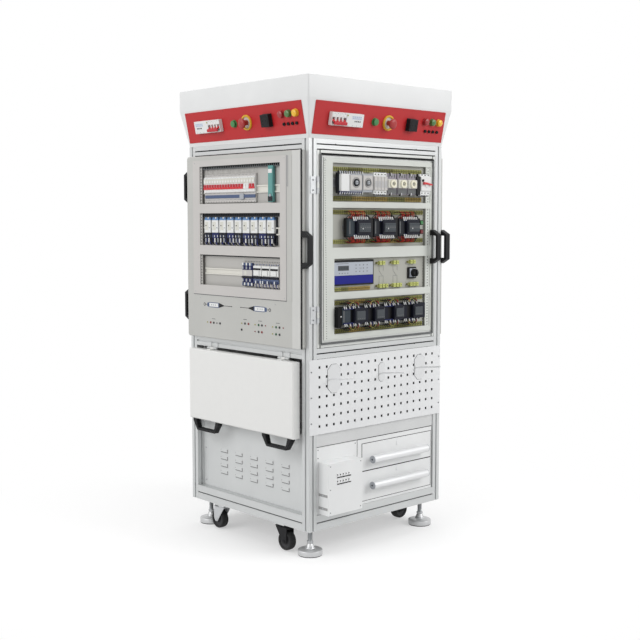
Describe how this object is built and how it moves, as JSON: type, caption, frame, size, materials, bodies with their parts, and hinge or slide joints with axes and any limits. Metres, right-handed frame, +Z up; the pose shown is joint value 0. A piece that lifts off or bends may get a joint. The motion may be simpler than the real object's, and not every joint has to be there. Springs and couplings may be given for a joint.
{
  "type": "electrical fault training system",
  "caption": "Four-sided training column of slotted profile: switchgear doors, red control panels, tool board, drawers, folding table, feet and casters.",
  "frame": {"origin": "on the floor, under the middle of the column, which is also the middle of the bounding box", "axes": "+Z up, -Y towards the front side with tool board and drawers, -X towards the side with the folding table"},
  "size_m": [0.8587, 1.03, 1.8405],
  "materials": {
    "aluminium": "satin anodised",
    "black_plastic": "matt moulded",
    "board_white": "white laminate",
    "hood_white": "smooth white powder coat",
    "light_grey_paint": "smooth light grey powder coat",
    "panel_red": "satin red",
    "plate_grey": "matt",
    "rubber": "matt",
    "signal_green": "gloss",
    "signal_red": "gloss",
    "steel": "satin",
    "white_paint": "smooth white powder coat"
  },
  "bodies": {
    "column": {"base_frame": "aluminium", "drawer_unit": "white_paint", "front_control_panel": "panel_red", "front_fascia": "light_grey_paint", "front_hinge_lower": "steel", "front_hinge_upper": "steel", "hood": "hood_white", "left_control_panel": "panel_red", "louvre_cover": "white_paint", "lower_cover": "white_paint", "middle_beam_front": "aluminium", "middle_beam_left": "aluminium", "middle_beam_rear": "aluminium", "middle_beam_right": "aluminium", "peg_left": "steel", "peg_middle": "steel", "peg_right": "steel", "post_front_left": "aluminium", "post_front_right": "aluminium", "post_rear_left": "aluminium", "post_rear_right": "aluminium", "power_inlet": "light_grey_paint", "service_box": "white_paint", "side_plate": "white_paint", "tool_board": "white_paint", "top_frame": "aluminium"},
    "front_door": {"front_door_frame": "aluminium", "front_door_panel": "white_paint", "front_device_plate": "plate_grey", "front_door_handle": "black_plastic"},
    "left_door_body": {"left_door": "light_grey_paint", "left_device_plate": "plate_grey", "left_door_handle": "black_plastic"},
    "right_door_body": {"right_door": "light_grey_paint"},
    "rear_door_body": {"rear_door": "light_grey_paint"},
    "table": {"table_top": "board_white", "table_handle_front": "black_plastic", "table_handle_rear": "black_plastic"},
    "upper_drawer_body": {"upper_drawer": "white_paint", "upper_drawer_handle": "aluminium"},
    "lower_drawer_body": {"lower_drawer": "white_paint", "lower_drawer_handle": "aluminium"},
    "front_toggles": {"front_breaker_toggles": "signal_red"},
    "front_start": {"front_start_button": "signal_green"},
    "front_stop": {"front_stop_button": "signal_red"},
    "left_toggles": {"left_breaker_toggles": "signal_red"},
    "left_start": {"left_start_button": "signal_green"},
    "left_stop": {"left_stop_button": "signal_red"},
    "foot_front_left_body": {"foot_front_left": "steel"},
    "caster_front_left_fork_body": {"caster_front_left_fork": "black_plastic"},
    "caster_front_left_wheel_body": {"caster_front_left_wheel": "rubber"},
    "foot_front_right_body": {"foot_front_right": "steel"},
    "caster_front_right_fork_body": {"caster_front_right_fork": "black_plastic"},
    "caster_front_right_wheel_body": {"caster_front_right_wheel": "rubber"},
    "foot_rear_left_body": {"foot_rear_left": "steel"},
    "caster_rear_left_fork_body": {"caster_rear_left_fork": "steel"},
    "caster_rear_left_wheel_body": {"caster_rear_left_wheel": "rubber"},
    "foot_rear_right_body": {"foot_rear_right": "steel"},
    "caster_rear_right_fork_body": {"caster_rear_right_fork": "black_plastic"},
    "caster_rear_right_wheel_body": {"caster_rear_right_wheel": "rubber"}
  },
  "joints": [
    {"name": "front_door_hinge", "type": "hinge", "parent": "column", "child": "front_door", "pos_m": [-0.334, -0.3803, 0.81705], "axis": [0, 0, -1], "range_deg": [0, 110]},
    {"name": "left_door_hinge", "type": "hinge", "parent": "column", "child": "left_door_body", "pos_m": [-0.38155, 0.36459, 0.81555], "axis": [0, 0, -1], "range_deg": [0, 110]},
    {"name": "right_door_hinge", "type": "hinge", "parent": "column", "child": "right_door_body", "pos_m": [0.38155, 0.36459, 0.81555], "axis": [0, 0, 1], "range_deg": [0, 90]},
    {"name": "rear_door_hinge", "type": "hinge", "parent": "column", "child": "rear_door_body", "pos_m": [0.36459, 0.38155, 0.81555], "axis": [0, 0, -1], "range_deg": [0, 90]},
    {"name": "table_hinge", "type": "hinge", "parent": "column", "child": "table", "pos_m": [-0.3803, 0, 0.77035], "axis": [0, 1, 0], "range_deg": [0, 90]},
    {"name": "upper_drawer_slide", "type": "slide", "parent": "column", "child": "upper_drawer_body", "axis": [0, -1, 0], "range_m": [0, 0.35]},
    {"name": "lower_drawer_slide", "type": "slide", "parent": "column", "child": "lower_drawer_body", "axis": [0, -1, 0], "range_m": [0, 0.35]},
    {"name": "front_toggle_hinge", "type": "hinge", "parent": "column", "child": "front_toggles", "pos_m": [-0.25051, -0.40235, 1.67769], "axis": [-1, 0, 0], "range_deg": [0, 40]},
    {"name": "front_start_press", "type": "slide", "parent": "column", "child": "front_start", "axis": [0, 0.9792, 0.2029], "range_m": [0, 0.004], "stiffness_N_per_m": 400},
    {"name": "front_stop_press", "type": "slide", "parent": "column", "child": "front_stop", "axis": [0, 0.9792, 0.2029], "range_m": [0, 0.004]},
    {"name": "left_toggle_hinge", "type": "hinge", "parent": "column", "child": "left_toggles", "pos_m": [-0.40235, 0.16151, 1.67769], "axis": [0, 1, 0], "range_deg": [0, 40]},
    {"name": "left_start_press", "type": "slide", "parent": "column", "child": "left_start", "axis": [0.9792, 0, 0.2029], "range_m": [0, 0.004], "stiffness_N_per_m": 400},
    {"name": "left_stop_press", "type": "slide", "parent": "column", "child": "left_stop", "axis": [0.9792, 0, 0.2029], "range_m": [0, 0.004]},
    {"name": "foot_front_left_turn", "type": "hinge", "parent": "column", "child": "foot_front_left_body", "pos_m": [-0.318, -0.318, 0], "axis": [0, 0, 1], "continuous": true},
    {"name": "caster_front_left_swivel_joint", "type": "hinge", "parent": "column", "child": "caster_front_left_fork_body", "pos_m": [-0.348, -0.19099, 0.041], "axis": [0, 0, 1], "continuous": true},
    {"name": "caster_front_left_roll", "type": "hinge", "parent": "caster_front_left_fork_body", "child": "caster_front_left_wheel_body", "pos_m": [-0.348, -0.21599, 0.041], "axis": [1, 0, 0], "continuous": true},
    {"name": "foot_front_right_turn", "type": "hinge", "parent": "column", "child": "foot_front_right_body", "pos_m": [0.318, -0.318, 0], "axis": [0, 0, 1], "continuous": true},
    {"name": "caster_front_right_swivel_joint", "type": "hinge", "parent": "column", "child": "caster_front_right_fork_body", "pos_m": [0.348, -0.19099, 0.041], "axis": [0, 0, 1], "continuous": true},
    {"name": "caster_front_right_roll", "type": "hinge", "parent": "caster_front_right_fork_body", "child": "caster_front_right_wheel_body", "pos_m": [0.323, -0.19099, 0.041], "axis": [0, -1, 0], "continuous": true},
    {"name": "foot_rear_left_turn", "type": "hinge", "parent": "column", "child": "foot_rear_left_body", "pos_m": [-0.318, 0.318, 0], "axis": [0, 0, 1], "continuous": true},
    {"name": "caster_rear_left_swivel_joint", "type": "hinge", "parent": "column", "child": "caster_rear_left_fork_body", "pos_m": [-0.348, 0.19099, 0.041], "axis": [0, 0, 1], "continuous": true},
    {"name": "caster_rear_left_roll", "type": "hinge", "parent": "caster_rear_left_fork_body", "child": "caster_rear_left_wheel_body", "pos_m": [-0.348, 0.21599, 0.041], "axis": [-1, 0, 0], "continuous": true},
    {"name": "foot_rear_right_turn", "type": "hinge", "parent": "column", "child": "foot_rear_right_body", "pos_m": [0.318, 0.318, 0], "axis": [0, 0, 1], "continuous": true},
    {"name": "caster_rear_right_swivel_joint", "type": "hinge", "parent": "column", "child": "caster_rear_right_fork_body", "pos_m": [0.348, 0.19099, 0.041], "axis": [0, 0, 1], "continuous": true},
    {"name": "caster_rear_right_roll", "type": "hinge", "parent": "caster_rear_right_fork_body", "child": "caster_rear_right_wheel_body", "pos_m": [0.3605, 0.21264, 0.041], "axis": [-0.866, 0.5, 0], "continuous": true}
  ]
}
